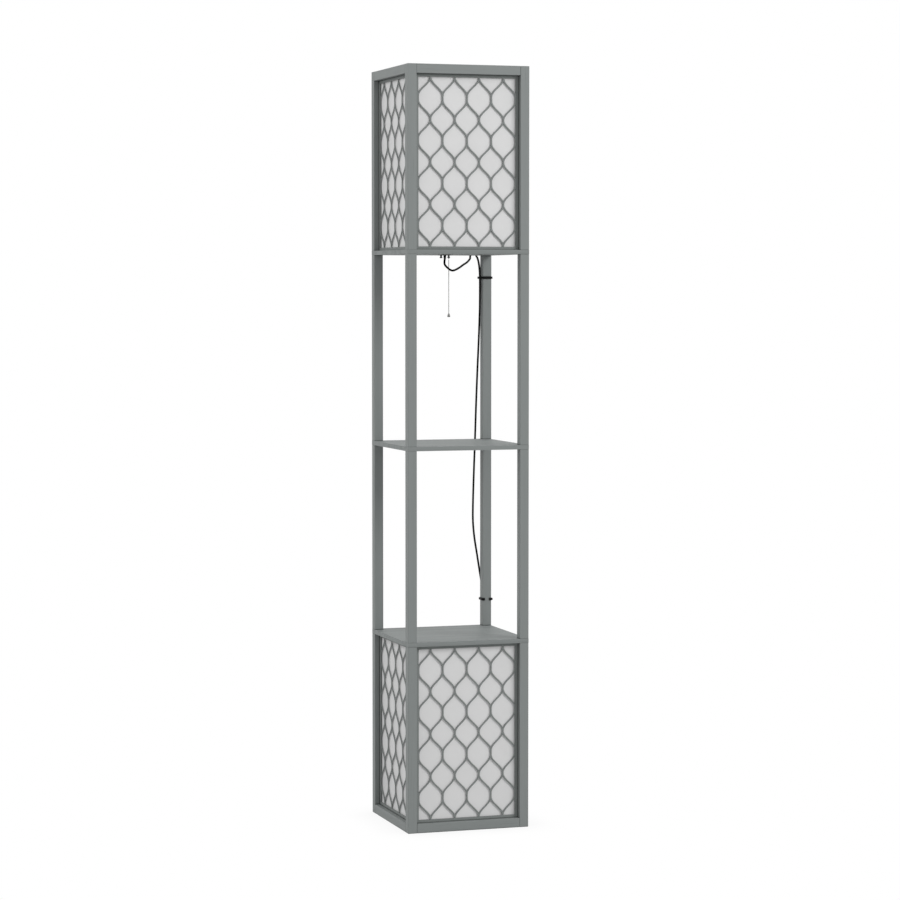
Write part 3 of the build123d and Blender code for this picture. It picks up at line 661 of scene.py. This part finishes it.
def ball_chain_tree():
    """Balls in a row downwards, each with the link to the next."""
    tree, given, out = new_group("ball_chain", "GeometryNodeTree", [
        ("Geometry", "NodeSocketGeometry", None), ("Top", "NodeSocketVector", None),
        ("Balls", "NodeSocketInt", 40), ("Pitch", "NodeSocketFloat", 0.003),
        ("Ball Radius", "NodeSocketFloat", 0.0012), ("Link Radius", "NodeSocketFloat", 0.0006),
        ("Metal", "NodeSocketMaterial", None)], [("Geometry", "NodeSocketGeometry")])
    down = add(tree, "ShaderNodeCombineXYZ", {2: math(tree, "MULTIPLY", given["Pitch"], -1.0)})
    row = add(tree, "GeometryNodeMeshLine", {
        "Count": given["Balls"], "Start Location": given["Top"], "Offset": down.outputs[0]})
    ball = add(tree, "GeometryNodeMeshUVSphere", {"Segments": 8, "Rings": 6,
                                                  "Radius": given["Ball Radius"]})
    link = add(tree, "GeometryNodeMeshCylinder", {"Vertices": 6, "Radius": given["Link Radius"],
                                                  "Depth": given["Pitch"]})
    half = add(tree, "ShaderNodeCombineXYZ", {2: math(tree, "MULTIPLY", given["Pitch"], 0.5)})
    raised = add(tree, "GeometryNodeTransform", {"Geometry": link.outputs[0],
                                                 "Translation": half.outputs[0]})
    both = joined(tree, ball.outputs[0], raised.outputs[0])
    strung = add(tree, "GeometryNodeInstanceOnPoints", {"Points": row.outputs[0], "Instance": both})
    real = add(tree, "GeometryNodeRealizeInstances", {0: strung.outputs[0]})
    smooth = add(tree, "GeometryNodeSetShadeSmooth", {"Geometry": real.outputs[0]})
    plated = add(tree, "GeometryNodeSetMaterial", {"Geometry": smooth.outputs[0],
                                                   "Material": given["Metal"]})
    tree.links.new(plated.outputs[0], out["Geometry"])
    return tree


chain = grown("ball_chain", ball_chain_tree(), Top=(chain_x, 0.0, chain_top), Balls=chain_balls,
              Pitch=chain_pitch, Ball_Radius=ball_radius, Link_Radius=link_radius,
              Metal=chain_nickel)
stand_for(chain, "chain_plating", "pull_chain", "pull_chain")
bell_rings = [(0.0, 1.0620), (0.0011, 1.0619), (0.0013, 1.0608), (0.0015, 1.0602),
              (0.0022, 1.0594), (0.0027, 1.0580), (0.0029, 1.0562), (0.0030, 1.0546),
              (0.0028, 1.0538), (0.0024, 1.0537), (0.0023, 1.0542), (0.0022, 1.0570),
              (0.0, 1.0584)]
bell = turned("chain_bell", bell_rings, bell_nickel, x=chain_x, segments=32)
stand_for(bell, "chain_plating", "pull_chain", "pull_bell")

# ------------------------------------------------------------------ mains cord
# Round two-core cord in black vinyl. It hangs from the switch in one loose loop, goes over the
# back edge of the top shelf, runs down the back right post and ends in a coil on the floor.
cord_thickness = 0.0042
cord_exit = (holder_x, 0.0, 1.1745)
cord_route = [
    cord_exit, (-0.0110, -0.0003, 1.1690), (-0.0112, -0.0024, 1.1622),
    (-0.0060, -0.0048, 1.1562), (0.0000, -0.0052, 1.1515), (0.0060, -0.0050, 1.1496),
    (0.0150, -0.0012, 1.1526), (0.0270, 0.0100, 1.1574), (0.0382, 0.0262, 1.1622),
    (0.0535, 0.0520, 1.1662), (0.0665, 0.0785, 1.1700), (0.0778, 0.1040, 1.1736),
    # over the back edge of the shelf
    (0.0868, 0.1240, 1.1772), (0.0892, 0.1338, 1.1798), (0.0912, 0.1336, 1.1865),
    (0.1003, 0.1336, 1.1868), (0.1064, 0.1318, 1.1770),
    # down the post, from the tie to the clip and on to the floor
    (0.1082, 0.1278, 1.1600), (0.1086, 0.1250, 1.1400), (0.1079, 0.1228, 1.1100),
    (0.1074, 0.1218, 1.0750), (0.1068, 0.1230, 1.0400), (0.1064, 0.1264, 1.0000),
    (0.1052, 0.1299, 0.9500), (0.1038, 0.1326, 0.8950), (0.1024, 0.1338, 0.8450),
    (0.1009, 0.1342, 0.7900), (0.0988, 0.1343, 0.7350), (0.0973, 0.1342, 0.6900),
    (0.0962, 0.1342, 0.6500), (0.0959, 0.1342, 0.6150), (0.0992, 0.1342, 0.5800),
    (0.1045, 0.1342, 0.5500), (0.1108, 0.1340, 0.5100), (0.1168, 0.1338, 0.4750),
    (0.1195, 0.1336, 0.4400), (0.1206, 0.1338, 0.3950), (0.1209, 0.1342, 0.3450),
    (0.1204, 0.1340, 0.2900), (0.1196, 0.1343, 0.2350), (0.1199, 0.1341, 0.1800),
    (0.1208, 0.1344, 0.1300), (0.1204, 0.1348, 0.0950), (0.1188, 0.1356, 0.0660),
    (0.1156, 0.1372, 0.0420), (0.1114, 0.1400, 0.0240), (0.1080, 0.1446, 0.0116),
    (0.1063, 0.1512, 0.0048), (0.1059, 0.1592, 0.0021), (0.1059, 0.1638, 0.0021),
]

coil_middle = (0.0785, 0.168)
coil_radius = 0.0274          # middle line of the outermost turn
coil_pitch = 0.0049
coil_rows = 1                 # turns in each layer
coil_climb = 0.5              # turns taken to go up a layer
coil_turns = 2.25
points_per_turn = 16
plug_lead = 0.030             # straight run from the coil to the plug


def coil_point(turns):
    """In along the floor, up a layer, and out again on top."""
    climb = min(max((turns - coil_rows) / coil_climb, 0.0), 1.0)
    height = cord_thickness / 2 + coil_pitch * (1 - cos(pi * climb)) / 2
    if turns <= coil_rows:
        radius = coil_radius - coil_pitch * turns
    else:
        radius = coil_radius - coil_pitch * (coil_rows + coil_climb * climb * (1 - climb))
        radius += coil_pitch * max(turns - coil_rows - coil_climb, 0.0)
    radius /= cos(pi / points_per_turn)       # the curve runs inside its points
    return (coil_middle[0] + radius * cos(2 * pi * turns),
            coil_middle[1] + radius * sin(2 * pi * turns), height)


cord_points = cord_route + [coil_point(i / points_per_turn)
                            for i in range(1, int(coil_turns * points_per_turn))]
coil_end = Vector((coil_middle[0], coil_middle[1] + coil_radius - 0.25 * coil_pitch,
                   cord_thickness / 2 + coil_pitch))
cord_points += [tuple(coil_end + Vector((-along, 0, 0)))
                for along in (0.0, plug_lead / 2, plug_lead)]

cord_curve = bpy.data.curves.new("power_cord_vinyl", "CURVE")
cord_curve.dimensions = "3D"
cord_curve.bevel_depth = cord_thickness / 2
cord_curve.bevel_resolution = 5
cord_curve.resolution_u = 6
cord_curve.use_fill_caps = True
line = cord_curve.splines.new("NURBS")
line.points.add(len(cord_points) - 1)
for point, place in zip(line.points, cord_points):
    point.co = (*place, 1.0)
line.order_u = 3
line.use_endpoint_u = True
cord = placed("power_cord_vinyl", cord_curve)

black_vinyl = moulded("black_vinyl", (0.0022, 0.0022, 0.0022), (0.0045, 0.0045, 0.0045), 0.50, 0.62,
                      bump=0.04, Specular_IOR_Level=0.05)
cord_curve.materials.append(black_vinyl)
stand_for(cord, "cord_cover", "frame", "power_cord", "cord_coil")

# ------------------------------------------------------------------ strain relief
# Tapered black sleeve, pressed into the cover under the switch. Its lower half shows below the
# cover, with three shallow grooves that let it bend with the cord.
sleeve_rings = [(0.00236, 1.17455), (0.00250, 1.17480), (0.00262, 1.17610), (0.00240, 1.17640),
                (0.00240, 1.17700), (0.00276, 1.17730), (0.00284, 1.17820), (0.00258, 1.17850),
                (0.00258, 1.17910), (0.00296, 1.17940), (0.00304, 1.18030), (0.00276, 1.18060),
                (0.00276, 1.18110), (0.00318, 1.18150), (0.00322, 1.19440), (0.00300, 1.19450)]
gland = turned("strain_relief", sleeve_rings, black_vinyl, x=cord_exit[0])
stand_for(gland, "cord_cover", "frame", "cord_gland")

# ------------------------------------------------------------------ plug
# Moulded two-blade plug on the end of the cord, lying beside the coil. The body is one piece
# with its tapered, ribbed tail; the blades are brass.
plug_low, plug_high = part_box("plug_body")
plug_middle = (plug_low + plug_high) / 2
plug_long = plug_high.x - plug_low.x
plug_wide = plug_high.y - plug_low.y
plug_thick = plug_high.z - plug_low.z
# shares of the plug's length, width and thickness
plug_sections = [(0.00, 0.90, 0.92), (0.02, 0.97, 0.98), (0.10, 1.0, 1.0), (0.30, 0.99, 1.0),
                 (0.46, 0.90, 0.98), (0.56, 0.72, 0.90), (0.62, 0.52, 0.74), (0.66, 0.40, 0.60),
                 (0.70, 0.37, 0.56)]
tail_start = 0.6              # share of the length where the boxy body turns into the round tail
first_rib, rib_pitch, tail_ribs = 0.715, 0.05, 5
for rib in range(tail_ribs):
    start = first_rib + rib * rib_pitch
    wide = 0.36 - rib * 0.03
    thick = wide * 1.5
    plug_sections += [(start, wide, thick), (start + 0.025, wide, thick),
                      (start + 0.030, wide - 0.07, thick - 0.12),
                      (start + 0.045, wide - 0.07, thick - 0.12)]
plug_sections += [(0.975, 0.22, 0.38), (1.0, 0.19, 0.33)]
plug_sides = 32
form = bmesh.new()
plug_rows = []
for along, wide, thick in plug_sections:
    power = 0.5 if along < tail_start else 1.0
    row = []
    for i in range(plug_sides):
        c, s = cos(2 * pi * i / plug_sides), sin(2 * pi * i / plug_sides)
        across = wide * plug_wide / 2 * abs(c) ** power * (1 if c > 0 else -1)
        up = thick * plug_thick / 2 * abs(s) ** power * (1 if s > 0 else -1)
        row.append(form.verts.new((plug_low.x + along * plug_long, plug_middle.y + across,
                                   plug_middle.z + up)))
    plug_rows.append(row)
for low, high in zip(plug_rows, plug_rows[1:]):
    for i in range(plug_sides):
        j = (i + 1) % plug_sides
        form.faces.new((low[i], low[j], high[j], high[i]))
form.faces.new(plug_rows[0])
form.faces.new(plug_rows[-1])
bmesh.ops.recalc_face_normals(form, faces=form.faces)
plug = modelled("mains_plug", form, black_vinyl, sharp=40)
stand_for(plug, "cord_cover", "frame", "plug_body")

blades = finished("plug_blades", "brass_blades", brass, "brass", bevel=0.0004)

# ------------------------------------------------------------------ tie, clip and saddle
# The cord is held to the back right post by a black cable tie near the top and an open clip of
# bent strip near the bottom, and passes through a small saddle on the back edge of the top shelf.
tie_nylon = moulded("tie_nylon", (0.0030, 0.0034, 0.0034), (0.006, 0.0065, 0.0065), 0.42, 0.6,
                    bump=0.05, Specular_IOR_Level=0.08)


def strap(name, node, corners, thick, low, high, closed):
    """Flat strip on edge, bent round the (x, y, radius) corners of its middle line."""
    count = len(corners)
    bend_steps = 6
    middle = []
    for i, (x, y, radius) in enumerate(corners):
        here = Vector((x, y))
        if radius == 0 or (not closed and i in (0, count - 1)):
            middle.append(here)
            continue
        to_last = (Vector(corners[i - 1][:2]) - here).normalized()
        to_next = (Vector(corners[(i + 1) % count][:2]) - here).normalized()
        inward = (to_last + to_next).normalized()
        half = to_last.angle(to_next) / 2
        centre = here + inward * (radius / sin(half))
        spread = pi / 2 - half
        side = 1.0 if to_last.cross(to_next) < 0 else -1.0
        for step in range(bend_steps + 1):
            turn = spread * (1 - 2 * step / bend_steps) * side
            c, s = cos(turn), sin(turn)
            middle.append(centre - radius * Vector((inward.x * c + inward.y * s,
                                                    inward.y * c - inward.x * s)))
    form = bmesh.new()
    rows = []
    last = len(middle) - 1
    for i, here in enumerate(middle):
        back = middle[i - 1] if closed or i else here
        ahead = middle[(i + 1) % (last + 1)] if closed or i < last else here
        along = (ahead - back).normalized()
        out = Vector((along.y, -along.x)) * thick / 2
        rows.append([form.verts.new((*(here + out * way), z)) for way, z in
                     ((1, low), (1, high), (-1, high), (-1, low))])
    for here, there in zip(rows, rows[1:] + rows[:1] if closed else rows[1:]):
        for i in range(4):
            form.faces.new((here[i], here[(i + 1) % 4], there[(i + 1) % 4], there[i]))
    if not closed:
        form.faces.new(rows[0])
        form.faces.new(rows[-1])
    bmesh.ops.recalc_face_normals(form, faces=form.faces)
    made = eased(modelled(name, form, tie_nylon, sharp=40), 0.0004)
    stand_for(made, "cord_fixing", "frame", node)
    return made


tie_line = [(0.1310, 0.1098, 0.0012), (0.1104, 0.1098, 0.0030), (0.1042, 0.1190, 0.0060),
            (0.1042, 0.1280, 0.0040), (0.1104, 0.1312, 0.0020), (0.1310, 0.1312, 0.0012),
            (0.1350, 0.1210, 0.0010)]
clip_line = [(0.1152, 0.1097, 0), (0.1098, 0.1097, 0.0018), (0.1098, 0.1320, 0.0030),
             (0.1155, 0.1372, 0.0040), (0.1229, 0.1372, 0.0040), (0.1320, 0.1320, 0.0030),
             (0.1320, 0.1097, 0.0018), (0.1252, 0.1097, 0)]
tie = strap("cable_tie", "cord_band", tie_line, thick=0.0013, low=1.1336, high=1.1384,
            closed=True)
clip = strap("open_clip", "cord_clip", clip_line, thick=0.0023, low=0.4465, high=0.4510,
             closed=False)
saddle = finished("cord_saddle", "edge_saddle", tie_nylon, "cord_fixing", bevel=0.0003, angle=30.0)

# ------------------------------------------------------------------ floor and light
# Plain white floor that keeps only a faint shadow, two broad soft lights from the upper right and
# left, and even light all round.
floor_mesh = bpy.data.meshes.new("floor")
floor_half = 9.0
floor_mesh.from_pydata([(-floor_half, -floor_half, 0), (floor_half, -floor_half, 0),
                        (floor_half, floor_half, 0), (-floor_half, floor_half, 0)],
                       [], [(0, 1, 2, 3)])
floor = placed("floor", floor_mesh)
floor_white, tree, shader = new_material("floor_white")
shader.inputs["Base Color"].default_value = (0.5, 0.5, 0.5, 1.0)
shader.inputs["Roughness"].default_value = 0.9


def seen(tree):
    """One for camera rays and rays off metal or through glass, zero for the light on things."""
    rays = add(tree, "ShaderNodeLightPath").outputs
    sent_on = math(tree, "MAXIMUM", rays["Is Glossy Ray"], rays["Is Transmission Ray"])
    return math(tree, "MAXIMUM", rays["Is Camera Ray"], sent_on)


# seen plain white, with a faint shadow where the lamp stands
open_share = add(tree, "ShaderNodeAmbientOcclusion", {"Distance": 0.09}).outputs["AO"]
shaded = add(tree, "ShaderNodeMapRange", {"Value": open_share, "From Min": 0.5, "To Min": 0.93})
glow = add(tree, "ShaderNodeEmission", {"Color": (1.0, 1.0, 1.0, 1.0),
                                        "Strength": shaded.outputs[0]})
both = add(tree, "ShaderNodeMixShader", {0: seen(tree), 1: shader.outputs[0], 2: glow.outputs[0]})
tree.links.new(both.outputs[0], tree.nodes["Material Output"].inputs["Surface"])
floor_mesh.materials.append(floor_white)

lamp_middle = Vector((0.0, 0.0, 0.8))
light_distance, light_size = 6.0, 2.4


def soft_light(name, azimuth, elevation, power):
    """Square light turned to the middle of the lamp; azimuth 0 is the front, 90 the right."""
    turn, lift = radians(azimuth), radians(elevation)
    outward = Vector((sin(turn) * cos(lift), -cos(turn) * cos(lift), sin(lift)))
    data = bpy.data.lights.new(name, "AREA")
    data.size = light_size
    data.energy = power
    made = placed(name, data)
    made.location = lamp_middle + outward * light_distance
    made.rotation_euler = outward.to_track_quat("Z", "Y").to_euler()


soft_light("key_right", azimuth=40, elevation=28, power=167)
soft_light("fill_left", azimuth=-92, elevation=35, power=98)

world = bpy.data.worlds.new("white_room")
scene.world = world
world.use_nodes = True
tree = world.node_tree
strength = add(tree, "ShaderNodeMapRange", {"Value": seen(tree), "To Min": 0.6, "To Max": 1.0})
background = tree.nodes["Background"]
background.inputs["Color"].default_value = (1.0, 1.0, 1.0, 1.0)
tree.links.new(strength.outputs[0], background.inputs["Strength"])

scene.view_settings.view_transform = "Standard"
